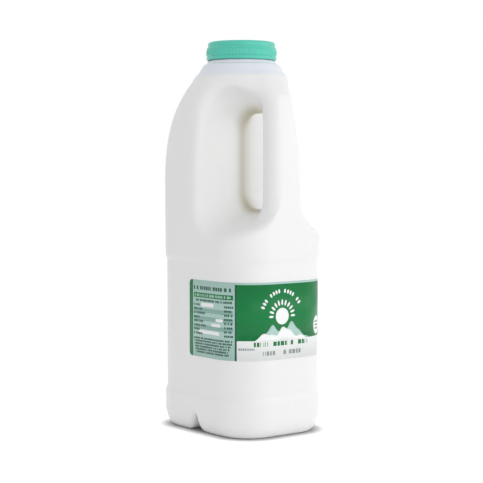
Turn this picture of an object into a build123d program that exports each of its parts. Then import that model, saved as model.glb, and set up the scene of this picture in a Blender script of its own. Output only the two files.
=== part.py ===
"""Blow-moulded plastic milk bottle with an integral handle, full of milk, with a cap and a wrap-round label.

X points from the back of the bottle to its handle, Y runs through the handle's gap and Z is up.
The origin is the centre of the base, on the surface that the bottle stands on.
"""

from build123d import *
import os

# ---- Driving dimensions, in millimetres ----
body_length = 90.4  # along X, back to handle side
body_width = 71.0  # along Y
corner_radius = 23.0
wall = 0.7

base_round = 9.0  # rounding of the bottom edge
crease_width = 1.6  # the crease across the base, between its two feet
crease_height = 13.0
foot_round = 12.0  # rounding of each foot towards the crease
foot_sink = 0.4  # how far that rounding would reach below the floor
foot_top = 21.0  # top of the plain belt above the base
panel_inset = 0.75  # label panel, set back from the belts
panel_step = 3.0  # height of the slope between belt and panel
panel_height = 76.0

shoulder_start = 148.0
shoulder_top = 209.7
neck_base_height = 217.0
cone_spread = 4.4  # the cone is this much wider at the shoulder than under the collar
cone_overhang = 1.3  # and this much wider under the collar than the cap
cone_root = 3.0  # how far the cone reaches down inside the shoulder

neck_height = 11.6  # from the cone to the rim
neck_wall = 1.4
collar_height = 2.2  # plain band between the cone and the cap

gap_column_x = 2.0  # face of the hollow column on the handle's gap
gap_bottom = 130.0  # the gap at the mould's parting plane
gap_top = 189.0
gap_corner = 13.0
recess_corner = 17.0
recess_slope_down = 15.0 / 35.0  # fall of the ledge towards the side
recess_top = 207.5
recess_top_reach = 17.0  # distance from the parting plane to the recess's full height

handle_depth = 14.2  # across the handle's foot, along X
handle_width = 24.0  # along Y
handle_depth_taper = 3.5  # how much less the depth is at the top
handle_width_taper = 5.0
handle_root = 18.0  # how far below the gap's bottom the handle starts, inside the ledge
handle_top_slope = 1.25  # run over rise of the handle's top, below the neck's cone

cap_radius = 21.0
cap_step = 0.7  # the top of the cap is this much smaller
cap_step_height = 3.6  # depth of the narrower part
cap_edge = 1.2
cap_wall = 1.4
cap_clearance = 0.3  # between cap and collar, and over the neck's rim
cap_bore_clearance = 1.0  # between the neck and the cap's inside, where the threads are
collar_setback = 0.7  # the collar is this much narrower than the cap

milk_level = 210.0
milk_clearance = 0.1

label_bottom = 45.5
label_height = 45.0
label_thickness = 0.3
label_clearance = 0.05
label_end_x = -5.0  # where the label stops on the two long sides

# ---- Fits and heights worked out from the driving dimensions ----
neck_radius = cap_radius - cap_wall - cap_bore_clearance
collar_radius = cap_radius - collar_setback
neck_base_radius = cap_radius + cone_overhang
shoulder_radius = neck_base_radius + cone_spread
panel_bottom = foot_top + panel_step
panel_top = panel_bottom + panel_height
collar_top = neck_base_height + collar_height
neck_top = neck_base_height + neck_height
cap_bottom = collar_top + cap_clearance
cap_top = neck_top + cap_clearance + cap_wall

# How far the shoulder has closed in towards the neck, against the share of its height.
shoulder_closing = [(0.0, 0.0), (0.2, 0.04), (0.4, 0.115), (0.6, 0.26), (0.77, 0.49), (0.9, 0.76), (1.0, 0.985)]
# How far the handle's outer line has moved inwards, against its height above the gap's bottom.
handle_lean = [(-handle_root, 0.4), (-4.0, 0.2), (20.0, 0.4), (36.0, 1.3), (50.0, 2.8), (64.0, 5.0), (80.0, 8.6)]


def body_form(inset):
    """Foot, label panel, belt and shoulder as a closed solid, set in by inset all round."""
    steps = [(0, 0), (foot_top, 0), (panel_bottom, panel_inset)]
    steps += [(panel_top, panel_inset), (panel_top + panel_step, 0), (shoulder_start, 0)]
    with BuildPart() as lower:
        for height, extra in steps:
            back = inset + extra
            with BuildSketch(Plane.XY.offset(max(height, inset))):
                RectangleRounded(body_length - 2 * back, body_width - 2 * back, corner_radius - back)
        loft(ruled=True)
        fillet(lower.edges().group_by(Axis.Z)[0], base_round - inset)
    with BuildPart() as form:
        rise = shoulder_top - inset - shoulder_start
        for share, closing in shoulder_closing:
            length = body_length + closing * (2 * shoulder_radius - body_length) - 2 * inset
            width = body_width + closing * (2 * shoulder_radius - body_width) - 2 * inset
            radius = corner_radius + closing * (shoulder_radius - corner_radius) - inset
            with BuildSketch(Plane.XY.offset(shoulder_start + share * rise)):
                RectangleRounded(length, width, radius)
        loft()
        add(lower.part)
    return form.part


def recess_form(grow):
    """The space around the handle: a funnel from each side that meets at the parting plane."""
    with BuildPart() as form:
        for reach in (0, recess_top_reach, body_width):
            share = min(reach / recess_top_reach, 1.0)
            corner = gap_corner + share * (recess_corner - gap_corner) + grow
            low = gap_bottom - reach * recess_slope_down - grow
            high = gap_top + share * (recess_top - gap_top) + grow
            left = gap_column_x - grow
            with BuildSketch(Plane.XZ.offset(reach)):
                with BuildLine():
                    Line((body_length, low), (left + corner, low))
                    RadiusArc((left + corner, low), (left, low + corner), corner)
                    Line((left, low + corner), (left, high - corner))
                    RadiusArc((left, high - corner), (left + corner, high), corner)
                    Polyline((left + corner, high), (body_length, high), (body_length, low))
                make_face()
        loft(ruled=True)
        mirror(about=Plane.XZ)
    return form.part


def handle_form(inset):
    """The hollow handle: an oval tube that leans in towards the neck and ends under the neck's cone."""
    low = gap_bottom - handle_root - wall
    rise = handle_lean[-1][0] + handle_root
    top_reach = shoulder_radius - 2 * inset
    low_reach = top_reach + handle_top_slope * (shoulder_top - low)
    with BuildPart() as form:
        for above, lean in handle_lean:
            taper = ((above + handle_root) / rise) ** 2
            half_depth = (handle_depth - handle_depth_taper * taper) / 2
            half_width = (handle_width - handle_width_taper * taper) / 2
            with BuildSketch(Plane.XY.offset(gap_bottom + above)):
                with Locations((body_length / 2 - lean - half_depth, 0)):
                    Ellipse(half_depth - inset, half_width - inset)
        loft()
        with BuildSketch(Plane.XZ):
            with BuildLine():
                Polyline((0, low), (low_reach, low), (top_reach, shoulder_top), (0, shoulder_top), close=True)
            make_face()
        revolve(axis=Axis.Z, mode=Mode.INTERSECT)
    return form.part


def neck_form(inset, neck_inset, top):
    """Cone, collar and straight neck as a solid of revolution up to this height."""
    shelf = neck_base_height - inset
    collar = collar_top - inset
    with BuildPart() as form:
        with BuildSketch(Plane.XZ):
            with BuildLine():
                Polyline(
                    (0, shoulder_top - cone_root),
                    (shoulder_radius - inset - cone_root, shoulder_top - cone_root),
                    (shoulder_radius - inset, shoulder_top - inset),
                    (neck_base_radius - inset, shelf),
                    (collar_radius - inset, shelf),
                    (collar_radius - inset, collar),
                    (neck_radius - neck_inset, collar),
                    (neck_radius - neck_inset, top),
                    (0, top),
                    close=True,
                )
            make_face()
        revolve(axis=Axis.Z)
    return form.part


def bottle_form(inset, neck_inset, top):
    """The space inside the bottle's skin, or inside a surface set in from it by inset. Under it, two
    rounded feet meet in a crease that runs across the base."""
    with BuildPart() as form:
        add(body_form(inset))
        add(recess_form(inset), mode=Mode.SUBTRACT)
        add(handle_form(inset))
        add(neck_form(inset, neck_inset, top))
        side = crease_width / 2 + inset
        top = crease_height + inset
        foot_x = crease_width / 2 + foot_round
        foot_z = foot_round - foot_sink
        radius = foot_round - inset
        with BuildSketch(Plane.XZ.offset(body_width / 2)):
            with BuildLine():
                CenterArc((foot_x, foot_z), radius, 180, 90)
                Line((foot_x, foot_z - radius), (foot_x, -foot_round))
                Line((foot_x, -foot_round), (-foot_x, -foot_round))
                Line((-foot_x, -foot_round), (-foot_x, foot_z - radius))
                CenterArc((-foot_x, foot_z), radius, 270, 90)
                Line((-side, foot_z), (-side, top - side))
                ThreePointArc((-side, top - side), (0, top), (side, top - side))
                Line((side, top - side), (side, foot_z))
            make_face()
        extrude(amount=-body_width, mode=Mode.SUBTRACT)
    return form.part


with BuildPart() as bottle:
    add(bottle_form(0, 0, neck_top))
    add(bottle_form(wall, neck_wall, neck_top + wall), mode=Mode.SUBTRACT)
bottle.part.label = "bottle"

with BuildPart() as milk:
    add(bottle_form(wall + milk_clearance, neck_wall + milk_clearance, neck_top))
    split(bisect_by=Plane.XY.offset(milk_level), keep=Keep.BOTTOM)
milk.part.label = "milk"

with BuildPart() as cap:
    with BuildSketch(Plane.XZ):
        with BuildLine():
            Polyline(
                (0, cap_top),
                (cap_radius - cap_step, cap_top),
                (cap_radius - cap_step, cap_top - cap_step_height),
                (cap_radius, cap_top - cap_step_height - cap_step),
                (cap_radius, cap_bottom),
                (cap_radius - cap_wall, cap_bottom),
                (cap_radius - cap_wall, cap_top - cap_wall),
                (0, cap_top - cap_wall),
                close=True,
            )
        make_face()
    revolve(axis=Axis.Z)
    rims = cap.edges().filter_by(GeomType.CIRCLE).group_by(Axis.Z)[-1]
    fillet(rims, cap_edge)
cap.part.label = "cap"

with BuildPart() as label:
    for grow, mode in ((label_thickness, Mode.ADD), (0, Mode.SUBTRACT)):
        out = label_clearance + grow - panel_inset
        with BuildSketch(Plane.XY.offset(label_bottom)):
            RectangleRounded(body_length + 2 * out, body_width + 2 * out, corner_radius + out)
        extrude(amount=label_height, mode=mode)
    split(bisect_by=Plane.YZ.offset(label_end_x), keep=Keep.TOP)
label.part.label = "label"

os.makedirs("parts", exist_ok=True)
for piece in (bottle, milk, cap, label):
    export_step(piece.part, f"parts/{piece.part.label}.step")
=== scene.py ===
import math
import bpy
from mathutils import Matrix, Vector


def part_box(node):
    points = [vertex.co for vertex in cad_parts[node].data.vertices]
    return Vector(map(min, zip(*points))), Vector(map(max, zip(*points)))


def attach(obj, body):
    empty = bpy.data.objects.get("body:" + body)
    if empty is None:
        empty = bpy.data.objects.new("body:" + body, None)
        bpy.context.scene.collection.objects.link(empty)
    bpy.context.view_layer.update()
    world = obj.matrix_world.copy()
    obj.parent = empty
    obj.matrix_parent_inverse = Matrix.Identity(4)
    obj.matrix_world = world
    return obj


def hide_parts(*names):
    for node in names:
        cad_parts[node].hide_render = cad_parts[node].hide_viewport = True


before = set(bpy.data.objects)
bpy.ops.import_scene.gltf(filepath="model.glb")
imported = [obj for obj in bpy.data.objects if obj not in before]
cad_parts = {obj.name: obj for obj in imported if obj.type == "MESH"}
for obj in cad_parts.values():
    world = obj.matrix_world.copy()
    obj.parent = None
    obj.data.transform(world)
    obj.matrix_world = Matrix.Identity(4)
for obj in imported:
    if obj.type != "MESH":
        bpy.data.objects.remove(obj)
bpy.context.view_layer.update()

from types import SimpleNamespace

import bmesh
import bpy
import numpy as np
from bpy.props import FloatProperty, FloatVectorProperty, IntProperty, PointerProperty
from mathutils import Vector

bl_info = {
    "name": "Milk Bottle Looks",
    "version": (1, 0, 0),
    "blender": (4, 5, 0),
    "location": "View3D > Sidebar > Milk Bottle",
    "description": "Builds the visible surfaces of a handled plastic milk bottle on its packed model",
    "category": "Add Mesh",
}

MM = 0.001
BOTTLE_LOW, BOTTLE_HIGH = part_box("bottle")
MILK_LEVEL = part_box("milk")[1].z / MM
CAP_LOW, CAP_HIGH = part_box("cap")
LABEL_LOW, LABEL_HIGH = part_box("label")
SLACK = 0.01  # keeps a corner's radius just under half of its side, in millimetres


# ---- Properties -----------------------------------------------------------------------------


def linear(code):
    """Linear RGBA of an sRGB hex colour."""
    shades = [int(code[i : i + 2], 16) / 255 for i in (0, 2, 4)]
    return [s / 12.92 if s <= 0.04045 else ((s + 0.055) / 1.055) ** 2.4 for s in shades] + [1.0]


def size(name, description, millimetres):
    """A length property whose default is given in millimetres."""
    return FloatProperty(name=name, description=description, default=millimetres * MM,
                         subtype="DISTANCE", unit="LENGTH", precision=4)


def paint(name, description, code):
    """A colour property whose default is an sRGB hex colour."""
    return FloatVectorProperty(name=name, description=description, default=linear(code),
                               subtype="COLOR", size=4, min=0.0, max=1.0)


class BottleSizes(bpy.types.PropertyGroup):
    """Sizes of the blow-moulded bottle."""

    length: size("Length", "From the back to the handle side", (BOTTLE_HIGH.x - BOTTLE_LOW.x) / MM)
    width: size("Width", "Along the handle's gap", (BOTTLE_HIGH.y - BOTTLE_LOW.y) / MM)
    rim: size("Rim height", "Top of the neck, inside the cap", BOTTLE_HIGH.z / MM)
    corner: size("Corner radius", "Of the body's four upright corners", 23)
    crown: size("Crown", "How far the full bottle's walls bulge between the corners", 0.1)
    wall: size("Wall", "Thickness of the plastic", 0.7)
    base_round: size("Base rounding", "How far in the bottom edge is rounded", 6.8)
    base_rise: size("Base rise", "How far up the bottom edge is rounded", 13)
    crease_width: size("Crease width", "Of the crease across the base, between its two feet", 1.6)
    crease_high: size("Crease top", "Where the crease across the base ends", 11)
    foot_round: size("Foot rounding", "Of the rear foot towards the crease", 14)
    front_round: size("Front foot rounding", "Of the front foot towards the crease", 8)
    foot_sink: size("Foot sink", "How far that rounding would reach below the floor", 0.4)
    foot_lip: size("Foot lip", "Rounding of the crease's edge on the bottle's side", 3.5)
    panel_inset: size("Panel inset", "How far the label panel is set back", 0.75)
    panel_low: size("Panel bottom", "Where the label panel starts", 20.5)
    panel_high: size("Panel top", "Where the label panel ends", 100)
    panel_step: size("Panel step", "Height of the slope into the label panel", 4)
    shoulder_low: size("Shoulder start", "Where the back starts to curve in", 148)
    shoulder_high: size("Shoulder top", "Where the shoulder meets the neck's cone", 209.7)
    shoulder_radius: size("Shoulder radius", "At the shoulder's top", 26.7)
    cone_high: size("Cone top", "Where the cone ends under the collar", 217)
    cone_radius: size("Cone radius", "At the cone's top", 22.3)
    collar_high: size("Collar top", "Top of the plain band under the cap", 219.2)
    collar_radius: size("Collar radius", "Of the plain band under the cap", 20.3)
    neck_radius: size("Neck radius", "Of the neck inside the cap", 18.6)
    gap_x: size("Column face", "Where the hollow column faces the handle's gap", 2)
    gap_low: size("Gap bottom", "Bottom of the gap at the parting plane", 130)
    gap_high: size("Gap top", "Top of the gap at the parting plane", 189)
    gap_corner: size("Gap corner", "Corner radius of the gap at the parting plane", 13)
    recess_corner: size("Recess corner", "Corner radius of the recess at the bottle's side", 17)
    recess_rise: size("Recess rise", "How much higher the recess is at the side than the gap", 15.5)
    recess_reach: size("Recess reach", "Distance over which the recess rises", 17)
    recess_fall: FloatProperty(name="Ledge fall", description="Slope of the ledge towards the side",
                               default=15 / 35, min=0.0, max=1.0)
    lip_low: size("Lower lip", "Rounding of the ledge's edge", 4)
    lip: size("Lip", "Rounding of the recess's upright edges", 6)
    lip_high: size("Upper lip", "Rounding of the recess's edge at its top", 11)
    web_reach: size("Web reach", "How far the pinched web stands into the gap", 0.9)
    web_half: size("Web half thickness", "Of the pinched web round the gap", 0.6)
    web_blend: size("Web blend", "Fillet of the pinched web", 3)
    handle_depth: size("Handle depth", "Across the handle's foot, front to back", 15)
    handle_width: size("Handle width", "Across the handle's foot, side to side", 22.6)
    depth_taper: size("Depth taper", "How much less the handle's depth is at the top", 2.2)
    width_taper: size("Width taper", "How much less the handle's width is at the top", 8)
    handle_round: size("Handle rounding", "Radius of the handle's upright edges", 6.6)
    handle_blend: size("Handle blend", "Fillet between the handle and the ledge", 10)
    grip_blend: size("Upper blend", "Fillet between the handle and the shoulder", 5)
    handle_lean: size("Handle lean", "How far the handle leans in at its top", 8.6)
    seam_height: size("Seam height", "Height of the mould's parting line", 0.12)
    seam_width: size("Seam width", "Half the width of the parting line", 0.8)


class SkinDetail(bpy.types.PropertyGroup):
    """How finely the surfaces are divided."""

    outer: size("Outer pitch", "Grid spacing of the bottle's outer skin", 1.1)
    inner: size("Inner pitch", "Grid spacing of the bottle's inner skin and of the milk", 2.2)
    rounds: IntProperty(name="Rounds", description="How often the grid's points are evened out",
                        default=4, min=0)


class CapSizes(bpy.types.PropertyGroup):
    """Sizes of the moulded cap."""

    radius: size("Radius", "Over the ribs of the skirt", CAP_HIGH.x / MM)
    low: size("Bottom", "Lower edge of the skirt", CAP_LOW.z / MM)
    high: size("Top", "Top of the cap", CAP_HIGH.z / MM)
    step: size("Step", "How much smaller the top is than the skirt", 0.75)
    step_height: size("Step height", "Depth of the narrower top", 3.3)
    edge: size("Edge", "Rounding of the top edge", 1.5)
    wall: size("Wall", "Thickness of the skirt", 1.4)
    rib_depth: size("Rib depth", "Of the gripping ribs", 0.28)
    band_height: size("Band height", "Of the plain tear band at the bottom", 2.2)
    groove: size("Groove", "Depth of the line above the tear band", 0.25)
    dish: size("Dish", "Depth of the shallow hollow in the top", 0.35)
    ribs: IntProperty(name="Ribs", description="How many gripping ribs go round", default=72, min=3)


class LabelSizes(bpy.types.PropertyGroup):
    """Sizes of the wrap-round label. Distances along it start at the middle of the handle side."""

    low: size("Bottom", "Lower edge", LABEL_LOW.z / MM)
    high: size("Top", "Upper edge", LABEL_HIGH.z / MM)
    end_x: size("End", "Where the label stops on the long sides", LABEL_LOW.x / MM)
    film: size("Film", "Thickness of the label", 0.12)
    lift: size("Lift", "Gap under the label, taken up by glue", 0.03)
    ink: size("Ink", "Step between printed layers", 0.012)
    front_half: size("Front half", "Half the length of the front panel", 34.6)
    border: size("Border", "Height of the mint line above the front panel", 1.3)
    band_high: size("Band", "Height of the pale band at the foot of the front panel", 11.6)
    rule: size("Rule", "Width of the dark line beside the front panel", 1.2)
    strip: size("Strip", "Width of the green strip at the label's ends", 3.4)
    round: size("Round", "Corner radius of the label's ends", 2.4)


class Colours(bpy.types.PropertyGroup):
    """Colours of the plastics, the milk and the print."""

    bottle: paint("Bottle", "Natural HDPE", "FDFDFD")
    empty: paint("Empty", "Natural HDPE with no milk behind it", "F2F6FE")
    # Weld: the thick pinched plastic's duller olive tone, darkened further as painted shade for the gap's
    # crease behind the handle
    weld: paint("Weld", "Thick HDPE where the mould pinched it", "CBC5AC")
    milk: paint("Milk", "Fresh milk", "FCFBF6")
    cap: paint("Cap", "Teal-green HDPE", "50CCB6")
    green: paint("Green", "Main field of the label", "057C3F")
    deep_green: paint("Deep green", "Rules and small print", "285F4D")
    mint: paint("Mint", "Ground of the side panels", "B2D3CB")
    sage: paint("Sage", "Table rows of the side panels", "8DB3AB")
    pale: paint("Pale", "Band and motif of the label", "F7FAF9")
    grey: paint("Grey", "Small print", "98A3A3")
    floor: paint("Floor", "Studio floor", "FFFFFF")


class StageSizes(bpy.types.PropertyGroup):
    """Camera, lamps and floor."""

    azimuth: FloatProperty(name="Azimuth", description="Direction of view, from looking along +Y",
                           default=math.radians(52), subtype="ANGLE", unit="ROTATION")
    distance: size("Distance", "From the camera to the bottle's axis, level", 850)
    camera_height: size("Camera height", "Above the floor", 158)
    aim: size("Aim", "Height of the point on the axis at the picture's middle", 111.5)
    lens: FloatProperty(name="Lens", description="Focal length on a 36 mm sensor",
                        default=105.6, unit="CAMERA")
    floor: size("Floor", "Half the side of the floor", 3000)
    turn: size("Turn", "Corner radius of the bottle's outline on the floor", 23)
    glow_near: size("Glow start", "How far inside the bottle's outline the floor starts to turn white", 6)
    glow_far: size("Glow end", "How far outside the bottle's outline the floor is plain white", 8.5)
    shade: FloatProperty(name="Shade", description="Share of its light that the floor is seen to return",
                         default=0.42, min=0.0, max=1.0)
    ambient: FloatProperty(name="Ambient", description="Level of the soft light from all sides",
                           default=0.742, min=0.0)
    key: FloatProperty(name="Key", description="Watts of the soft lamp in front of the handle side",
                       default=2.6, min=0.0)
    rim: FloatProperty(name="Rim", description="Watts of the soft lamp on the far side",
                       default=2.8, min=0.0)
    lamp_side: size("Lamp side", "Side of both square lamps", 900)


class MilkBottle(bpy.types.PropertyGroup):
    """Everything that can be changed."""

    bottle: PointerProperty(type=BottleSizes)
    detail: PointerProperty(type=SkinDetail)
    cap: PointerProperty(type=CapSizes)
    label: PointerProperty(type=LabelSizes)
    colours: PointerProperty(type=Colours)
    stage: PointerProperty(type=StageSizes)


# ---- Shapes worked out as whole arrays --------------------------------------------------------


def in_mm(group):
    """The property group's lengths in millimetres, with counts and plain numbers as they are."""
    values = {}
    for name, prop in group.bl_rna.properties.items():
        if prop.type in {"FLOAT", "INT"}:
            value = getattr(group, name)
            values[name] = value / MM if prop.unit == "LENGTH" else value
    return SimpleNamespace(**values)


def ramp(value, low, high):
    """Smooth step: 0 up to low, 1 from high, and 3t^2 - 2t^3 between them."""
    t = np.clip((value - low) / (high - low), 0, 1)
    return t * t * (3 - 2 * t)


def union(a, b, reach):
    """The lower of two distances, less (reach - |a - b|)^2 / 4 reach where they are within reach: a
    filled corner."""
    h = np.maximum(reach - np.abs(a - b), 0)
    return np.minimum(a, b) - h * h / (4 * reach)


def common(a, b, reach):
    """The higher of two distances, with the edge between them rounded in the same way."""
    return -union(-a, -b, reach)


def corner(a, b, radius):
    """Distance to two flat sides that meet in an arc: a and b are the distances outside each side."""
    p = a + radius
    q = b + radius
    return np.hypot(np.maximum(p, 0), np.maximum(q, 0)) + np.minimum(np.maximum(p, q), 0) - radius


def bottle_body(x, y, z, s):
    """The body without its recess: at each height a rounded rectangle, which closes in to a circle
    over the shoulder as 0.55 t^2 + 0.45 t^4, with t the share of the shoulder's height. From its middle
    a wall falls back by the crown times 1 - exp(-d^2), with d the distance along it over half its flat
    stretch and 1 mm. Underneath, two feet with round flanks meet in a crease."""
    crease_top, shoulder_edge, floor_edge = 3, 1, 0.5  # roundings, in millimetres
    t = np.clip((z - s.shoulder_low) / (s.shoulder_high - s.shoulder_low), 0, 1)
    closing = 0.55 * t**2 + 0.45 * t**4
    steps = ramp(z, s.panel_low, s.panel_low + s.panel_step)
    steps = steps * (1 - ramp(z, s.panel_high, s.panel_high + s.panel_step))
    half_x = s.length / 2 - s.seam_height - s.panel_inset * steps
    half_y = s.width / 2 - s.panel_inset * steps
    half_x = half_x + closing * (s.shoulder_radius - half_x)
    half_y = half_y + closing * (s.shoulder_radius - half_y)
    radius = s.corner + closing * (s.shoulder_radius - s.corner) - SLACK
    bulge = s.crown * (1 - closing)
    side_x = np.abs(x) - half_x + bulge * (1 - np.exp(-((y / (half_y - radius + 1)) ** 2)))
    side_y = np.abs(y) - half_y + bulge * (1 - np.exp(-((x / (half_x - radius + 1)) ** 2)))
    walls = corner(side_x, side_y, radius)
    body = corner(walls, -z * s.base_round / s.base_rise, s.base_round)
    flank = np.where(x > 0, s.front_round, s.foot_round)
    foot = corner(s.crease_width / 2 - np.abs(x), -s.foot_sink - z, flank)
    feet = union(foot, s.crease_high - z, crease_top)
    body = common(body, feet, floor_edge + s.foot_lip * ramp(z, 0, s.base_rise / 2))
    return common(body, z - s.shoulder_high, shoulder_edge)


def handle_gap(x, y, z, s):
    """The recess and the gap: a rounded slot, open to the front, that widens from the parting plane
    to both sides. Its foot falls in a straight slope and its head rises as tanh of the distance to the
    parting plane, which is taken as sqrt(y^2 + 4) - 2 so that there is no fold on that plane."""
    side = np.sqrt(y * y + 4) - 2
    spread = np.tanh(1.3 * side / s.recess_reach)
    low = s.gap_low - s.recess_fall * side
    high = s.gap_high + s.recess_rise * spread
    radius = s.gap_corner + (s.recess_corner - s.gap_corner) * spread
    return corner(s.gap_x - x, np.abs(z - (high + low) / 2) - (high - low) / 2, radius)


def handle_front(z, s):
    """The handle's outer line: it leans in from the front as the height above the lean's start to the
    power 2.6. The start is 4 mm under the gap."""
    start = s.gap_low - 4
    up = np.maximum(z - start, 0) / (s.shoulder_high - start)
    return s.length / 2 - s.seam_height - s.handle_lean * up**2.6


def handle_tube(x, y, z, s):
    """The hollow grip: a rounded rectangle carried up the outer line, smaller by the square of the height
    above the ledge. It starts inside the ledge and ends under a cone-shaped roof."""
    roof_run = 1.25  # run of the roof for each millimetre that it rises
    roof_slant = 1.6  # and the length of its slope, which turns the run into a distance
    roof_edge, foot_edge = 5, 1
    root = s.gap_low - 18
    taper = (np.maximum(z - s.gap_low, 0) / (s.shoulder_high - s.gap_low)) ** 2
    depth = (s.handle_depth - s.depth_taper * taper) / 2
    width = (s.handle_width - s.width_taper * taper) / 2
    across = np.abs(x - handle_front(z, s) + depth) - depth
    tube = corner(across, np.abs(y) - width, np.minimum(s.handle_round, depth - 0.1))
    roof = (np.hypot(x, y) - s.shoulder_radius - roof_run * (s.shoulder_high - z)) / roof_slant
    return common(common(tube, roof, roof_edge), root - z, foot_edge)


def cone(x, y, z, s):
    """The turned cone between the shoulder and the collar, with its root 1 mm inside the shoulder and its
    top edge rounded."""
    root, edge = s.shoulder_high - 1, 0.8
    rise = s.cone_high - s.shoulder_high
    run = s.shoulder_radius - s.cone_radius
    r = np.hypot(x, y)
    slant = ((r - s.shoulder_radius) * rise + (z - s.shoulder_high) * run) / math.hypot(rise, run)
    return common(np.maximum(slant, root - z), z - s.cone_high, edge)


def neck(x, y, z, s):
    """Collar and neck, each a turned shape, the collar with rounded edges."""
    edge = 0.4
    r = np.hypot(x, y)
    collar = common(r - s.collar_radius, np.maximum(z - s.collar_high, s.shoulder_high - z), edge)
    tube = np.maximum(r - s.neck_radius, np.maximum(z - s.rim, s.shoulder_high - z))
    return np.minimum(collar, tube)


def pinched_web(x, y, z, s):
    """The low ridge round the gap, where the mould pinched the two walls together: a thin plate on the
    parting plane that follows the gap's outline, reaches into it and has its root inside the wall."""
    root = 3  # how far behind the gap's outline the middle of the plate lies
    band = np.abs(handle_gap(x, 0, z, s) - root) - root - s.web_reach
    return np.maximum(np.abs(y) - s.web_half, band)


def skin(x, y, z, s):
    """Distance in millimetres to the bottle's outer skin, below 0 inside: body and cone less the gap, with
    the handle and the neck blended on, and a thin parting line where the two mould halves met. The line's
    height is exp(-d^2), with d the distance to the parting plane over the line's half width. The recess's
    lip is sharper on the ledge and softer at the top, and the handle's fillet is smaller at the top."""
    cone_blend, neck_blend = 2.5, 0.8
    heights = (s.gap_low - 15, s.gap_low + 15, s.gap_high - 9, s.gap_high + s.recess_rise)
    lip = np.interp(z, heights, (s.lip_low, s.lip, s.lip, s.lip_high))
    solid = union(bottle_body(x, y, z, s), cone(x, y, z, s), cone_blend)
    column = union(common(solid, -handle_gap(x, y, z, s), lip), pinched_web(x, y, z, s), s.web_blend)
    blend = s.handle_blend + (s.grip_blend - s.handle_blend) * ramp(z, s.gap_high - 20, s.gap_high + 6)
    grip = union(column, handle_tube(x, y, z, s), blend)
    grip = np.maximum(grip, x - handle_front(z, s))
    whole = union(grip, neck(x, y, z, s), neck_blend)
    upright = ramp(z, 1, s.base_rise) * (1 - ramp(z, s.shoulder_high, s.cone_high))
    return whole - s.seam_height * np.exp(-((y / s.seam_width) ** 2)) * upright


def milk_field(x, y, z, s):
    """The space inside the bottle, reaching half a wall into the plastic, up to a level that climbs
    the wall as a wet edge does: by climb times exp(-d / reach), with d the distance to the wall."""
    climb, reach = 0.8, 1.5
    inside = skin(x, y, z, s) + s.wall / 2
    level = MILK_LEVEL + climb * np.exp(np.minimum(inside, 0) / reach)
    return np.maximum(inside, z - level)


def weld_and_shade_share(x, y, z, s):
    """Share of the weld tint, 1 on the pinched web and 0 away from it: exp(-d^2), with d the distance to the
    parting plane over spread, times the same for the distance to the gap's outline. The tint is the thick
    plastic's tone and also painted shade in the crease behind the handle. It is stronger at the gap's head
    and foot, as painted shade, and fades out on the handle."""
    spread = 5
    side = np.exp(-((y / spread) ** 2))
    near = np.exp(-((handle_gap(x, 0, z, s) / spread) ** 2))
    ends = np.abs(z - (s.gap_low + s.gap_high) / 2) / (s.gap_high - s.gap_low) * 2
    back = 1 - ramp(x, s.handle_depth, 2 * s.handle_depth)
    return side * near * back * (0.6 + 0.4 * ramp(ends, 0.5, 1))


def cap_outline(c):
    """Radius and height down the cap, with the share of the rib's depth at each point as a third column:
    dished top, quarter-circle edge, step, ring, ribbed skirt, groove, tear band, and back up inside."""
    skirt = c.radius - c.rib_depth
    top = skirt - c.step
    dish = c.high - c.dish
    shelf = c.high - c.step_height
    ring = shelf - 0.3
    tear = c.low + c.band_height
    groove = skirt - c.groove
    band = skirt + 0.1
    inside = c.radius - c.wall
    roof = c.high - c.wall
    rows = [(0.0, dish, 0), (4.0, dish, 0), (top - 5.2, dish, 0)]
    rows += [(top - 4.6, c.high - c.dish * 0.9, 0), (top - 4.0, c.high - c.dish * 0.1, 0)]
    rows += [(top - 3.4, c.high, 0)]
    for turn in np.linspace(0, math.pi / 2, 7):
        rows.append((top - c.edge + c.edge * math.sin(turn), c.high - c.edge + c.edge * math.cos(turn), 0))
    rows += [(top, shelf + 0.3, 0), (top + 0.1, shelf, 0)]
    rows += [(skirt, ring, 0), (skirt, ring - 0.5, 0), (groove, ring - 0.7, 0)]
    rows += [(groove, ring - 1.1, 0), (skirt, ring - 1.3, 0.4), (skirt, ring - 1.7, 1)]
    rows += [(skirt, tear + 0.8, 1), (skirt, tear + 0.45, 0), (groove, tear + 0.25, 0)]
    rows += [(groove, tear, 0), (band, tear - 0.2, 0), (band, c.low + 0.3, 0)]
    rows += [(skirt - 0.2, c.low, 0), (inside + 0.2, c.low, 0), (inside, c.low + 0.2, 0)]
    rows += [(inside, roof - 0.6, 0), (inside - 0.6, roof, 0), (4.0, roof, 0), (0.0, roof, 0)]
    return np.array(rows)


def slope(field, points, s):
    """Gradient of a field at the points: the difference a step ahead and a step back on each axis, over
    two steps."""
    step = 0.02
    parts = []
    for axis in range(3):
        shift = np.zeros(3)
        shift[axis] = step
        parts.append(field(*(points + shift).T, s) - field(*(points - shift).T, s))
    return np.stack(parts, axis=1) / (2 * step)


def settle(field, points, level, s, flat=False, rounds=4):
    """Move the points along the slope until the field over its slope is level: each round goes the miss
    over the slope's square, times the slope. Flat keeps the points' height."""
    least_slope, least_run = 0.3, 0.05  # these hold back points where the field is nearly flat
    for _ in range(rounds):
        rise = slope(field, points, s)
        steep = np.maximum(np.linalg.norm(rise, axis=1), least_slope)
        if flat:
            rise[:, 2] = 0
        run = np.maximum((rise**2).sum(axis=1), least_run)
        miss = field(*points.T, s) - level * steep
        points = points - rise * (miss / run)[:, None]
    return points


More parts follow.
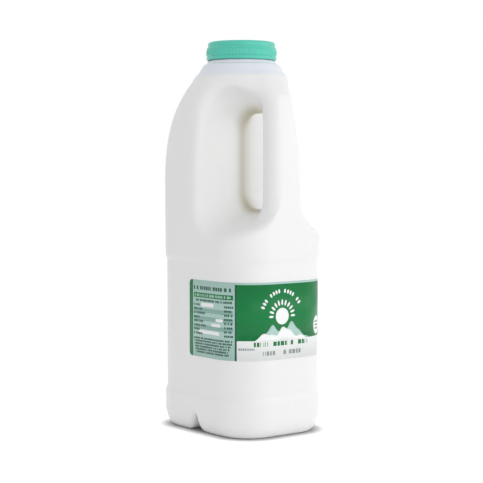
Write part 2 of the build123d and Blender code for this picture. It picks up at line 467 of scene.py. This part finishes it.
def net(field, low, high, pitch, level, s, rounds):
    """A closed skin of quads where the field is level: one point in each grid cell that the surface
    crosses, at the mean of its edge crossings, and one quad across each grid edge that it crosses. In each
    round the points go half way to the mean of their neighbours, and then back onto the surface."""
    margin = 2  # grid cells outside the box on each side
    counts = np.ceil((np.array(high) - low) / pitch / 2).astype(int) + margin
    middle = (np.array(low) + high) / 2
    axes = [middle[i] + pitch * (np.arange(-counts[i], counts[i]) + 0.5) for i in range(3)]
    value = field(*np.meshgrid(*axes, indexing="ij"), s) - level
    inside = value < 0
    shape = np.array(value.shape) - 1
    total = np.zeros((*shape, 3))
    hits = np.zeros(shape)
    crossings = []
    for axis in range(3):
        near = [slice(None)] * 3
        far = [slice(None)] * 3
        near[axis] = slice(None, -1)
        far[axis] = slice(1, None)
        near, far = tuple(near), tuple(far)
        where = np.argwhere(inside[near] != inside[far])
        ahead = where.copy()
        ahead[:, axis] += 1
        start, end = value[tuple(where.T)], value[tuple(ahead.T)]
        place = np.stack([axes[i][where[:, i]] for i in range(3)], axis=1)
        place[:, axis] += pitch * start / (start - end)
        others = [i for i in range(3) if i != axis]
        cells = []
        for back_1, back_2 in ((1, 1), (0, 1), (0, 0), (1, 0)):
            cell = where.copy()
            cell[:, others[0]] -= back_1
            cell[:, others[1]] -= back_2
            np.add.at(total, tuple(cell.T), place)
            np.add.at(hits, tuple(cell.T), 1)
            cells.append(cell)
        crossings.append((cells, (start < 0) != (axis == 1)))
    order = -np.ones(shape, int)
    used = hits > 0
    order[used] = np.arange(used.sum())
    points = total[used] / hits[used][:, None]
    quads = []
    for cells, outward in crossings:
        ring = np.stack([order[tuple(cell.T)] for cell in cells], axis=1)
        quads.append(np.where(outward[:, None], ring, ring[:, ::-1]))
    quads = np.concatenate(quads)
    for _ in range(rounds):
        points = settle(field, points, level, s, rounds=1)
        mean = np.zeros_like(points)
        share = np.zeros(len(points))
        for a, b in ((0, 1), (1, 2), (2, 3), (3, 0)):
            for i, j in ((a, b), (b, a)):
                np.add.at(mean, quads[:, i], points[quads[:, j]])
                np.add.at(share, quads[:, i], 1)
        points = points + 0.5 * (mean / share[:, None] - points)
    return settle(field, points, level, s), quads


def sheet_grid(across, up):
    """Corner points (s, t) of a grid of cells between two lists of distances."""
    return np.stack(np.meshgrid(across, up, indexing="ij"), axis=-1)


def grid_quads(rows, columns, wrap=False):
    """Quads between neighbours of a grid of points, with its first side joined to its last if it wraps."""
    i = np.arange(rows if wrap else rows - 1)[:, None]
    j = np.arange(columns - 1)[None, :]
    ahead = (i + 1) % rows
    return np.stack(
        [i * columns + j, ahead * columns + j, ahead * columns + j + 1, i * columns + j + 1], axis=-1
    ).reshape(-1, 4)


def slab(under, over):
    """Points and quads of a closed plate between two grids of points: over, under turned round, and a rim."""
    rows, columns = over.shape[:2]
    count = rows * columns
    top = grid_quads(rows, columns)
    order = np.arange(count).reshape(rows, columns)
    rim = np.concatenate([order[:-1, 0], order[-1, :-1], order[:0:-1, -1], order[0, :0:-1]])
    after = np.roll(rim, -1)
    side = np.stack([rim + count, after + count, after, rim], axis=1)
    points = np.concatenate([over.reshape(-1, 3), under.reshape(-1, 3)])
    return points, np.concatenate([top, top[:, ::-1] + count, side])


def joined(shapes):
    """Several (points, quads) as one."""
    starts = np.cumsum([0] + [len(points) for points, _ in shapes[:-1]])
    points = np.concatenate([points for points, _ in shapes])
    quads = np.concatenate([quads + start for (_, quads), start in zip(shapes, starts)])
    return points, quads


def make_piece(name, shape, material, replaced=None):
    """A finished object from points in millimetres and quads, riding on the one body of the part."""
    points, quads = shape
    mesh = bpy.data.meshes.new(name)
    mesh.from_pydata((points * MM).tolist(), [], quads.tolist())
    mesh.polygons.foreach_set("use_smooth", np.ones(len(quads), bool))
    mesh.materials.append(material)
    mesh.update()
    item = bpy.data.objects.new(name, mesh)
    bpy.context.scene.collection.objects.link(item)
    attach(item, "root")
    if replaced:
        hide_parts(replaced)
    return item


def close_poles(item):
    """Merge the points that meet on the axis, so that the turned shape is closed."""
    shape = bmesh.new()
    shape.from_mesh(item.data)
    bmesh.ops.remove_doubles(shape, verts=shape.verts, dist=1e-7)
    shape.to_mesh(item.data)
    shape.free()


# ---- Label coordinates ------------------------------------------------------------------------


def wrap(spots, lift, s):
    """Points off the bottle's label panel by lift. A spot is (distance round from the middle of the handle
    side, height). It is placed on the panel's outline of straights and arcs, and then moved at its own
    height until it is that far outside the skin."""
    along, height = spots[..., 0].ravel(), spots[..., 1].ravel()
    half_x = s.length / 2 - s.panel_inset
    half_y = s.width / 2 - s.panel_inset
    radius = s.corner - s.panel_inset
    flat = half_y - radius
    turn = radius * math.pi / 2
    far = np.abs(along)
    angle = np.clip((far - flat) / radius, 0, math.pi / 2)
    x = half_x - radius + radius * np.cos(angle) - np.maximum(far - flat - turn, 0)
    y = np.minimum(far, flat) + radius * np.sin(angle)
    points = np.stack([x, np.sign(along) * y, height], axis=1)
    return settle(skin, points, lift, s, flat=True).reshape(*spots.shape[:-1], 3)


def label_end(s, label):
    """Distance round from the middle of the handle side to the label's end: half the side's straight, a
    quarter circle, and the stretch of the long side."""
    radius = s.corner - s.panel_inset
    return s.width / 2 - s.corner + radius * math.pi / 2 + s.length / 2 - s.corner - label.end_x


def stops(low, high, pitch=1.0):
    """The two ends and every whole pitch between them."""
    inner = pitch * np.arange(math.floor(low / pitch) + 1, math.ceil(high / pitch))
    return np.concatenate([[low], inner, [high]])


def printed(spots, layer, s, label):
    """A closed patch of ink over the grid of spots, on this layer of the print."""
    base = label.lift + label.film + label.ink * (layer - 1)
    return slab(wrap(spots, base, s), wrap(spots, base + label.ink, s))


def block(low_s, high_s, low_t, high_t):
    """Spots of an upright rectangle, a millimetre apart along the label."""
    return sheet_grid(stops(low_s, high_s), np.array([low_t, high_t]))


def round_end(along, end, radius):
    """How far a band's edge is drawn in near its two ends, which lie at this distance on both sides of 0:
    the circle radius - sqrt(radius^2 - d^2), with d the distance into the corner."""
    into = np.clip(radius - (end - np.abs(along)), 0, radius)
    return radius - np.sqrt(radius**2 - into**2)


def between(low_s, high_s, under, over, rows=4):
    """Spots between two curves over a stretch of the label, shared out evenly from one to the other."""
    pitch = 0.4
    along = stops(low_s, high_s, pitch)[:, None]
    share = np.linspace(0, 1, rows)[None, :]
    height = under(along) * (1 - share) + over(along) * share
    return np.stack([along + 0 * share, height], axis=-1)


def oval(middle_s, middle_t, half_s, half_t, cells=16):
    """Spots of an oval: the square (u, v) becomes (u sqrt(1 - v^2 / 2), v sqrt(1 - u^2 / 2))."""
    u, v = np.meshgrid(*[np.linspace(-1, 1, cells + 1)] * 2, indexing="ij")
    across = middle_s + half_s * u * np.sqrt(1 - v * v / 2)
    up = middle_t + half_t * v * np.sqrt(1 - u * u / 2)
    return np.stack([across, up], axis=-1)


def tilted_oval(middle_s, middle_t, half_s, half_t, degrees, cells=6):
    """Spots of an oval turned by an angle, with half_s along its own first side."""
    turn = math.radians(degrees)
    spots = oval(0, 0, half_s, half_t, cells)
    along = middle_s + spots[..., 0] * math.cos(turn) - spots[..., 1] * math.sin(turn)
    up = middle_t + spots[..., 0] * math.sin(turn) + spots[..., 1] * math.cos(turn)
    return np.stack([along, up], axis=-1)


def full_height(low_s, high_s, s, label):
    """Spots of the label's whole height over a stretch, drawn in at the label's rounded ends."""
    end = label_end(s, label)
    return between(low_s, high_s, lambda along: label.low + round_end(along, end, label.round),
                   lambda along: label.high - round_end(along, end, label.round), 2)


def hills(low_s, high_s, foot, top, phase):
    """Spots under a rolling line: a long wave and a short one on a mean height, times sin^0.8 of the
    stretch, which takes them down to the foot at both ends."""
    long_wave, short_wave = 2.6, 1.1  # millimetres along the label for each radian

    def line(along):
        share = np.clip((along - low_s) / (high_s - low_s), 0, 1)
        roll = 0.66 + 0.26 * np.sin(along / long_wave + phase) + 0.08 * np.sin(along / short_wave)
        return foot + (top - foot) * np.sin(math.pi * share) ** 0.8 * roll

    return between(low_s, high_s, lambda along: foot + 0 * along, line)


def motif_sun(s, label, middle_s, middle_t):
    """A rising disc, a fan of short rays round it, and a wide arc of plain dabs above them in groups."""
    disc, ray_circle, dab_circle = 4.8, 8.0, 14.6
    ray_angles = range(0, 181, 18)
    dab_angles = (158, 149, 141, 124, 115, 107, 99, 82, 73, 65, 57, 40, 31)
    shapes = [printed(oval(middle_s, middle_t, disc, disc), 2, s, label)]
    for angles, circle, half_length, half_width in (
        (ray_angles, ray_circle, 1.7, 0.65),
        (dab_angles, dab_circle, 1.25, 0.7),
    ):
        for degrees in angles:
            turn = math.radians(degrees)
            along = middle_s + circle * math.cos(turn)
            up = middle_t + circle * math.sin(turn)
            dab = tilted_oval(along, up, half_length, half_width, degrees)
            shapes.append(printed(dab, 2, s, label))
    return joined(shapes)


def type_rows(rows, layer, s, label):
    """Small print as rows of plain marks. Each row is (start, end, foot, height, seed). A mark is as wide
    as the row's height times a random share, and every fifth gap or so is as wide as between words."""
    most = 120  # marks drawn for a row, of which the ones that fit are kept
    shapes = []
    for start, end, foot, height, seed in rows:
        dice = np.random.default_rng(seed)
        widths = height * dice.uniform(0.45, 1.0, most)
        gaps = height * np.where(dice.random(most) < 0.2, 0.8, 0.25)
        begins = start + np.cumsum(widths + gaps) - widths - gaps
        keep = begins + widths < end
        for begin, width in zip(begins[keep], widths[keep]):
            corners = sheet_grid(np.array([begin, begin + width]), np.array([foot, foot + height]))
            shapes.append(printed(corners, layer, s, label))
    return joined(shapes)


# ---- Materials --------------------------------------------------------------------------------

# Roughness of each ink on the film
INKS = {"green": 0.3, "deep_green": 0.3, "mint": 0.32, "pale": 0.32, "sage": 0.32, "grey": 0.4}


def add(tree, kind, settings, inputs):
    """Add a node, set its properties, and set each input or link it from a socket."""
    item = tree.nodes.new(kind)
    for name, value in settings.items():
        setattr(item, name, value)
    for name, value in inputs.items():
        if isinstance(value, bpy.types.NodeSocket):
            tree.links.new(value, item.inputs[name])
        else:
            item.inputs[name].default_value = value
    return item


def blank(name):
    """A new material and its node tree, which is empty."""
    material = bpy.data.materials.new(name)
    material.use_nodes = True
    material.node_tree.nodes.clear()
    return material, material.node_tree


def mottled(tree, millimetres, colour, dark, rough_low, rough_high):
    """Sockets for colour and roughness that drift together over noise of this size: from the colour
    darkened to the colour itself, and between the two roughness values."""
    place = add(tree, "ShaderNodeTexCoord", {}, {})
    noise = add(tree, "ShaderNodeTexNoise", {},
                {"Vector": place.outputs["Object"], "Scale": 1 / (millimetres * MM), "Detail": 2.0})
    low = [shade * dark for shade in colour[:3]] + [1.0]
    tint = add(tree, "ShaderNodeMix", {"data_type": "RGBA"},
               {0: noise.outputs["Fac"], 6: low, 7: list(colour)})
    rough = add(tree, "ShaderNodeMapRange", {},
                {"Value": noise.outputs["Fac"], "From Min": 0.3, "From Max": 0.7,
                 "To Min": rough_low, "To Max": rough_high})
    return tint.outputs[2], rough.outputs["Result"]


def relief(tree, waves):
    """Socket for a normal bumped by noise, one layer on another. Each wave is (size, depth), in
    millimetres."""
    place = add(tree, "ShaderNodeTexCoord", {}, {})
    normal = None
    for millimetres, depth in waves:
        noise = add(tree, "ShaderNodeTexNoise", {},
                    {"Vector": place.outputs["Object"], "Scale": 1 / (millimetres * MM), "Detail": 2.0})
        inputs = {"Height": noise.outputs["Fac"], "Strength": 1.0, "Distance": depth * MM}
        if normal:
            inputs["Normal"] = normal
        normal = add(tree, "ShaderNodeBump", {}, inputs).outputs["Normal"]
    return normal


def hdpe_blow_moulded(colours):
    """Natural HDPE, extrusion blow-moulded: milky and half clear, with a soft sheen, the fine grain of
    the blasted mould, long low waves where the wall cooled unevenly, and faint clouds in its clearness.
    Where the mould pinched it, the plastic is thick and looks duller, and its tint is darkened to paint the
    shade in the gap's crease behind the handle; with no milk behind it, it is bluer."""
    material, tree = blank("natural_hdpe_blow_moulded")
    colour, rough = mottled(tree, 9, colours.bottle, 0.99, 0.36, 0.46)
    # The weld tint is partly the thick plastic's tone and partly painted shade in the gap's crease behind the
    # handle
    for name, shade in (("empty", colours.empty), ("weld", colours.weld)):
        share = add(tree, "ShaderNodeAttribute", {"attribute_name": name}, {})
        tinted = add(tree, "ShaderNodeMix", {"data_type": "RGBA"},
                     {0: share.outputs["Fac"], 6: colour, 7: list(shade)})
        colour = tinted.outputs[2]
    wall_waves, mould_grain = (22, 0.25), (0.7, 0.012)
    body = add(tree, "ShaderNodeBsdfPrincipled", {}, {
        "Base Color": colour, "Roughness": rough, "IOR": 1.54, "Transmission Weight": 0.15,
        "Normal": relief(tree, [wall_waves, mould_grain])})
    add(tree, "ShaderNodeOutputMaterial", {}, {"Surface": body.outputs[0]})
    return material


def milk_fresh(colours):
    """Fresh milk: fat and protein droplets scatter all light, so it is white right through and a
    little soft at its edges, with a wet level surface."""
    material, tree = blank("fresh_milk")
    colour, rough = mottled(tree, 14, colours.milk, 0.985, 0.22, 0.28)
    body = add(tree, "ShaderNodeBsdfPrincipled", {}, {
        "Base Color": colour, "Roughness": rough, "IOR": 1.35,
        "Subsurface Weight": 1.0, "Subsurface Radius": (0.012, 0.0115, 0.011), "Subsurface Scale": 1.0})
    add(tree, "ShaderNodeOutputMaterial", {}, {"Surface": body.outputs[0]})
    return material


def hdpe_injected(colours):
    """Coloured HDPE, injection-moulded: waxy, with a soft sheen, slightly clear at thin edges, and with
    faint flow marks round the cap."""
    material, tree = blank("teal_hdpe_injection_moulded")
    colour, rough = mottled(tree, 5, colours.cap, 0.93, 0.3, 0.42)
    sink_waves, mould_grain = (6, 0.05), (0.5, 0.008)
    body = add(tree, "ShaderNodeBsdfPrincipled", {}, {
        "Base Color": colour, "Roughness": rough, "IOR": 1.54,
        "Subsurface Weight": 0.1, "Subsurface Radius": (0.001, 0.0016, 0.0014), "Subsurface Scale": 1.0,
        "Normal": relief(tree, [sink_waves, mould_grain])})
    add(tree, "ShaderNodeOutputMaterial", {}, {"Surface": body.outputs[0]})
    return material


def printed_film(name, colour, roughness):
    """Polypropylene label film, printed: smooth and slightly shiny, with the orange-peel waves of film
    glued to a moulded wall and a faint mottle in the ink."""
    material, tree = blank(name)
    tint, rough = mottled(tree, 1.6, colour, 0.95, roughness - 0.04, roughness + 0.05)
    glue_waves, orange_peel = (14, 0.06), (0.9, 0.004)
    body = add(tree, "ShaderNodeBsdfPrincipled", {}, {
        "Base Color": tint, "Roughness": rough, "IOR": 1.49, "Specular IOR Level": 0.25,
        "Normal": relief(tree, [glue_waves, orange_peel])})
    add(tree, "ShaderNodeOutputMaterial", {}, {"Surface": body.outputs[0]})
    return material


def ink(colours, name):
    """The label's film printed in one of its inks, made the first time that it is asked for."""
    title = f"{name}_ink_on_film"
    return bpy.data.materials.get(title) or printed_film(title, getattr(colours, name), INKS[name])


def seen(tree):
    """Socket that is 1 for camera, mirror and glass rays, and 0 for the rays that carry soft light."""
    ray = add(tree, "ShaderNodeLightPath", {}, {})
    total = ray.outputs["Is Camera Ray"]
    for name in ("Is Glossy Ray", "Is Transmission Ray"):
        either = add(tree, "ShaderNodeMath", {"operation": "MAXIMUM"}, {0: total, 1: ray.outputs[name]})
        total = either.outputs[0]
    return total


def studio_paper(colours, stage):
    """Matt white background paper: it takes the object's shadow. Camera, mirror and glass rays see the
    shadow under and close round the bottle, and plain white further out: the distance outside the
    bottle's outline is the length of the part of (|x|, |y|) past the middle of the outline's corner, less
    the corner's radius."""
    material, tree = blank("matt_background_paper")
    colour, _ = mottled(tree, 3, colours.floor, 0.99, 0.0, 1.0)
    look = seen(tree)
    place = add(tree, "ShaderNodeTexCoord", {}, {})
    far = add(tree, "ShaderNodeVectorMath", {"operation": "ABSOLUTE"}, {0: place.outputs["Object"]})
    middle = (BOTTLE_HIGH.x - stage.turn, BOTTLE_HIGH.y - stage.turn, 0)
    past = add(tree, "ShaderNodeVectorMath", {"operation": "SUBTRACT"}, {0: far.outputs[0], 1: middle})
    outside = add(tree, "ShaderNodeVectorMath", {"operation": "MAXIMUM"},
                  {0: past.outputs[0], 1: (0, 0, 0)})
    reach = add(tree, "ShaderNodeVectorMath", {"operation": "LENGTH"}, {0: outside.outputs[0]})
    glow = add(tree, "ShaderNodeMapRange", {"interpolation_type": "SMOOTHSTEP"},
               {"Value": reach.outputs["Value"], "From Min": stage.turn - stage.glow_near,
                "From Max": stage.turn + stage.glow_far})
    power = add(tree, "ShaderNodeMath", {"operation": "MULTIPLY"}, {0: look, 1: glow.outputs["Result"]})
    shade = add(tree, "ShaderNodeMapRange", {}, {"Value": look, "To Min": 1.0, "To Max": stage.shade})
    seen_colour = add(tree, "ShaderNodeVectorMath", {"operation": "SCALE"},
                      {0: colour, "Scale": shade.outputs["Result"]})
    matt = add(tree, "ShaderNodeBsdfDiffuse", {}, {"Color": seen_colour.outputs[0]})
    light = add(tree, "ShaderNodeEmission", {},
                {"Color": list(colours.floor), "Strength": power.outputs[0]})
    both = add(tree, "ShaderNodeAddShader", {}, {0: matt.outputs[0], 1: light.outputs[0]})
    add(tree, "ShaderNodeOutputMaterial", {}, {"Surface": both.outputs[0]})
    return material


def studio_world(ambient):
    """White for camera, mirror and glass rays, and a plain level of soft light for all others."""
    world = bpy.data.worlds.new("studio")
    bpy.context.scene.world = world
    world.use_nodes = True
    tree = world.node_tree
    tree.nodes.clear()
    power = add(tree, "ShaderNodeMapRange", {}, {"Value": seen(tree), "To Min": ambient, "To Max": 1.0})
    sky = add(tree, "ShaderNodeBackground", {},
              {"Color": (1, 1, 1, 1), "Strength": power.outputs["Result"]})
    add(tree, "ShaderNodeOutputWorld", {}, {"Surface": sky.outputs[0]})


def lamp(name, watts, side, place, aim):
    """A soft square lamp at place that points at aim, all in metres."""
    light = bpy.data.lights.new(name, "AREA")
    light.energy = watts
    light.size = side
    item = bpy.data.objects.new(name, light)
    bpy.context.scene.collection.objects.link(item)
    item.location = place
    item.rotation_euler = (item.location - aim).to_track_quat("Z", "Y").to_euler()


# ---- Operators --------------------------------------------------------------------------------


def settings(context, *names):
    """Property groups in millimetres, and the colours as they are."""
    group = context.scene.milk_bottle
    return [getattr(group, n) if n == "colours" else in_mm(getattr(group, n)) for n in names]


class MILKBOTTLE_OT_bottle(bpy.types.Operator):
    """Build the hollow bottle: an outer skin, and an inner one a wall's thickness inside it"""

    bl_idname = "milk_bottle.bottle"
    bl_label = "Bottle"

    def execute(self, context):
        s, detail, colours = settings(context, "bottle", "detail", "colours")
        half = np.array([s.length / 2, s.width / 2])
        low, high = (*-half, 0.0), (*half, s.rim)
        outer = net(skin, low, high, detail.outer, 0.0, s, detail.rounds)
        points, quads = net(skin, low, high, detail.inner, -s.wall, s, detail.rounds)
        shape = joined([outer, (points, quads[:, ::-1])])
        item = make_piece("bottle_skin", shape, hdpe_blow_moulded(colours), "bottle")
        spots = shape[0]
        fade = 1.5
        shares = {
            # Weld share: where the tint for thick plastic and painted shade in the gap's crease goes
            "weld": weld_and_shade_share(*spots.T, s),
            "empty": ramp(spots[:, 2], MILK_LEVEL - fade, MILK_LEVEL + fade),
        }
        for name, share in shares.items():
            item.data.attributes.new(name, "FLOAT", "POINT").data.foreach_set("value", share)
        return {"FINISHED"}


class MILKBOTTLE_OT_milk(bpy.types.Operator):
    """Build the milk: it fills the bottle up to its level"""

    bl_idname = "milk_bottle.milk"
    bl_label = "Milk"

    def execute(self, context):
        s, detail, colours = settings(context, "bottle", "detail", "colours")
        margin, rounds = 2, 2
        low = (-s.length / 2, -s.width / 2, 0)
        high = (s.length / 2, s.width / 2, MILK_LEVEL + margin)
        shape = net(milk_field, low, high, detail.inner, 0.0, s, rounds)
        make_piece("milk_fill", shape, milk_fresh(colours), "milk")
        return {"FINISHED"}


class MILKBOTTLE_OT_cap(bpy.types.Operator):
    """Build the cap: an outline carried round the axis, with ribs on its skirt"""

    bl_idname = "milk_bottle.cap"
    bl_label = "Cap"

    def execute(self, context):
        c, colours = settings(context, "cap", "colours")
        rows = cap_outline(c)
        points_a_rib = 8
        turns = c.ribs * points_a_rib
        angle = np.linspace(0, 2 * math.pi, turns, endpoint=False)[:, None]
        # A cosine round the cap, made squarer by tanh, from 0 in a groove to 1 on a rib
        square = 3
        rib = 0.5 + 0.5 * np.tanh(square * np.cos(c.ribs * angle)) / math.tanh(square)
        radius = rows[:, 0] + c.rib_depth * rows[:, 2] * rib
        height = np.broadcast_to(rows[:, 1], radius.shape)
        grid = np.stack([radius * np.cos(angle), radius * np.sin(angle), height], axis=-1)
        quads = grid_quads(turns, len(rows), wrap=True)[:, ::-1]
        item = make_piece("cap_shell", (grid.reshape(-1, 3), quads), hdpe_injected(colours), "cap")
        close_poles(item)
        return {"FINISHED"}


class MILKBOTTLE_OT_label(bpy.types.Operator):
    """Build the label's film, wrapped round the handle side"""

    bl_idname = "milk_bottle.label"
    bl_label = "Label film"

    def execute(self, context):
        s, label, colours = settings(context, "bottle", "label", "colours")
        end = label_end(s, label)
        spots = full_height(-end, end, s, label)
        shape = slab(wrap(spots, label.lift, s), wrap(spots, label.lift + label.film, s))
        film = printed_film("polypropylene_label_film", colours.pale, roughness=0.34)
        make_piece("label_film", shape, film, "label")
        return {"FINISHED"}


class MILKBOTTLE_OT_front_print(bpy.types.Operator):
    """Print the front panel: a green field over a pale band, with hills, a rising disc and plain bars"""

    bl_idname = "milk_bottle.front_print"
    bl_label = "Front print"

    def execute(self, context):
        s, label, colours = settings(context, "bottle", "label", "colours")
        half, top, band = label.front_half, label.high, label.low + label.band_high
        field_top, field_corner = top - label.border, 1.6
        field = between(-half, half, lambda along: band - round_end(along, half, field_corner),
                        lambda along: field_top + 0 * along, 2)
        make_piece("print_front_field", printed(field, 1, s, label), ink(colours, "green"))
        border = printed(block(-half, half, field_top, top), 1, s, label)
        make_piece("print_border", border, ink(colours, "mint"))
        thick = label.rule / 2
        rules = [printed(block(side - thick, side + thick, label.low, field_top), 2, s, label)
                 for side in (-half, half)]
        make_piece("print_rules", joined(rules), ink(colours, "deep_green"))
        far_hills = printed(hills(-22, 15, band, band + 11.5, 0.4), 3, s, label)
        make_piece("print_far_hills", far_hills, ink(colours, "mint"))
        near_hills = printed(hills(-24, 13, band - 0.4, band + 8.0, 2.6), 4, s, label)
        make_piece("print_near_hills", near_hills, ink(colours, "pale"))
        make_piece("print_sun", motif_sun(s, label, -5.0, band + 13.5), ink(colours, "pale"))
        # Marks for a title of three words under the field, and for a line beside it and one below it
        title_foot, line_foot = band - 3.4, band - 8.6
        title = [(start, end, title_foot, 2.5, seed)
                 for start, end, seed in ((-24, -14.5, 3), (-11.5, 4.5, 4), (7, 14.5, 9))]
        make_piece("print_front_title", type_rows(title, 1, s, label), ink(colours, "green"))
        marks = [(-33, -23.5, band - 5.4, 1.2, 5)]
        marks += [(start, end, line_foot, 2.4, seed)
                  for start, end, seed in ((-18.5, -8.5, 6), (-4.0, 9.5, 7))]
        make_piece("print_front_marks", type_rows(marks, 1, s, label), ink(colours, "grey"))
        badge_s, badge_t, bar_height = 24.5, top - 27, 1.1
        badge = printed(oval(badge_s, badge_t, 4.2, 5.4), 2, s, label)
        make_piece("print_badge", badge, ink(colours, "pale"))
        bars = [printed(block(badge_s - 2.5, badge_s + 2.5, foot, foot + bar_height), 3, s, label)
                for foot in (badge_t - 2.5, badge_t - 0.5, badge_t + 1.5)]
        make_piece("print_badge_bars", joined(bars), ink(colours, "grey"))
        return {"FINISHED"}


class MILKBOTTLE_OT_side_print(bpy.types.Operator):
    """Print the two side panels: mint ground, a table of pale boxes and rows of small marks"""

    bl_idname = "milk_bottle.side_print"
    bl_label = "Side print"

    def execute(self, context):
        s, label, colours = settings(context, "bottle", "label", "colours")
        end, half, top = label_end(s, label), label.front_half, label.high
        inner = end - label.strip
        first, last = -inner + 1, -half - 1.6  # both ends of the lines on the near panel
        grounds = [printed(block(low, high, label.low, top), 1, s, label)
                   for low, high in ((-inner, -half), (half, inner))]
        make_piece("print_side_grounds", joined(grounds), ink(colours, "mint"))
        strips = [printed(full_height(low, high, s, label), 1, s, label)
                  for low, high in ((-end, -inner), (inner, end))]
        strips.append(printed(block(first, last, top - 10.2, top - 7.4), 2, s, label))
        strips.append(printed(block(half + 2, inner - 2, top - 6, top - 3), 2, s, label))
        make_piece("print_side_strips", joined(strips), ink(colours, "green"))
        row_height = 2.4
        table = [printed(block(first, last, foot, foot + row_height), 2, s, label)
                 for foot in (top - 18.8, top - 23.6, top - 28.6)]
        make_piece("print_side_table", joined(table), ink(colours, "sage"))
        # Boxes as (start, end, foot, height): four in the table, and a large one on the far panel
        boxes = [(first + 7, first + 19, top - 15.4, 2.4), (first + 21, last - 7, top - 23.4, 1.9),
                 (first + 17, last - 9, top - 26.4, 1.9), (first + 5, last - 10, top - 31.2, 2.2),
                 (half + 6, inner - 6, label.low + 5, 12)]
        shapes = [printed(block(start, stop, foot, foot + tall), 3, s, label)
                  for start, stop, foot, tall in boxes]
        make_piece("print_side_boxes", joined(shapes), ink(colours, "pale"))
        heading = type_rows([(first + 1, last - 1, top - 9.5, 1.4, 12)], 3, s, label)
        make_piece("print_side_heading", heading, ink(colours, "mint"))
        # The title, and a line between the heading and the table
        rows = [(first, last, top - 5.6, 2.1, 11), (first + 2, last, top - 12.4, 1.3, 13)]
        # The table: a word at the left of each row and a number at its right
        for i in range(8):
            foot = top - 15.0 - row_height * i
            rows += [(first, first + 6 + i % 3 * 3, foot, 1.2, 20 + i), (last - 6, last, foot, 1.2, 40 + i)]
        # The small print under it, each row a little shorter than the one above
        rows += [(first + 0.4 * i, last - 0.5 * i, top - 34.6 - 1.62 * i, 1.05, 60 + i) for i in range(6)]
        # The far panel's lines
        rows += [(half + 4, inner - 4, top - 9.4 - 2.2 * i, 1.1, 80 + i) for i in range(8)]
        make_piece("print_side_marks", type_rows(rows, 4, s, label), ink(colours, "deep_green"))
        return {"FINISHED"}


class MILKBOTTLE_OT_stage(bpy.types.Operator):
    """Build the white floor, the soft lamps and the camera"""

    bl_idname = "milk_bottle.stage"
    bl_label = "Stage"

    def execute(self, context):
        scene = context.scene
        stage, colours = scene.milk_bottle.stage, scene.milk_bottle.colours
        scene.view_settings.view_transform = "Standard"
        points_a_side = 9
        span = np.linspace(-stage.floor, stage.floor, points_a_side)
        across, along = np.meshgrid(span, span, indexing="ij")
        grid = np.stack([across, along, 0 * across], axis=-1).reshape(-1, 3)
        mesh = bpy.data.meshes.new("studio_floor")
        mesh.from_pydata(grid.tolist(), [], grid_quads(points_a_side, points_a_side).tolist())
        mesh.materials.append(studio_paper(colours, stage))
        floor = bpy.data.objects.new("studio_floor", mesh)
        scene.collection.objects.link(floor)
        studio_world(stage.ambient)
        aim = Vector((0, 0, stage.aim))
        # The level direction from the axis to the camera
        level = Vector((math.sin(stage.azimuth), -math.cos(stage.azimuth), 0))
        camera = bpy.data.cameras.new("camera")
        camera.lens = stage.lens
        camera.sensor_width = 36
        camera.clip_end = 20
        view = bpy.data.objects.new("camera", camera)
        view.location = level * stage.distance + Vector((0, 0, stage.camera_height))
        view.rotation_euler = (view.location - aim).to_track_quat("Z", "Y").to_euler()
        scene.collection.objects.link(view)
        scene.camera = view
        key_place, rim_place = Vector((1.1, -0.12, 0.3)), Vector((0.8, 0.9, 0.35))
        lamp("key", stage.key, stage.lamp_side, key_place, aim)
        lamp("rim", stage.rim, stage.lamp_side, rim_place, aim)
        return {"FINISHED"}


class MILKBOTTLE_PT_build(bpy.types.Panel):
    """Lists the pieces in the 3D view's sidebar"""

    bl_idname = "MILKBOTTLE_PT_build"
    bl_label = "Milk Bottle"
    bl_space_type = "VIEW_3D"
    bl_region_type = "UI"
    bl_category = "Milk Bottle"

    def draw(self, context):
        for operator in OPERATORS:
            self.layout.operator(operator.bl_idname)


OPERATORS = (
    MILKBOTTLE_OT_stage,
    MILKBOTTLE_OT_bottle,
    MILKBOTTLE_OT_milk,
    MILKBOTTLE_OT_cap,
    MILKBOTTLE_OT_label,
    MILKBOTTLE_OT_front_print,
    MILKBOTTLE_OT_side_print,
)
GROUPS = (BottleSizes, SkinDetail, CapSizes, LabelSizes, Colours, StageSizes, MilkBottle)


def register():
    """Register the classes and hang the properties on the scene."""
    for item in (*GROUPS, *OPERATORS, MILKBOTTLE_PT_build):
        bpy.utils.register_class(item)
    bpy.types.Scene.milk_bottle = PointerProperty(type=MilkBottle)


def unregister():
    """Undo what register did, in the opposite order."""
    del bpy.types.Scene.milk_bottle
    for item in reversed((*GROUPS, *OPERATORS, MILKBOTTLE_PT_build)):
        bpy.utils.unregister_class(item)


def main():
    """Register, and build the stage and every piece."""
    register()
    bpy.ops.milk_bottle.stage()
    bpy.ops.milk_bottle.bottle()
    bpy.ops.milk_bottle.milk()
    bpy.ops.milk_bottle.cap()
    bpy.ops.milk_bottle.label()
    bpy.ops.milk_bottle.front_print()
    bpy.ops.milk_bottle.side_print()


if __name__ == "__main__":
    main()
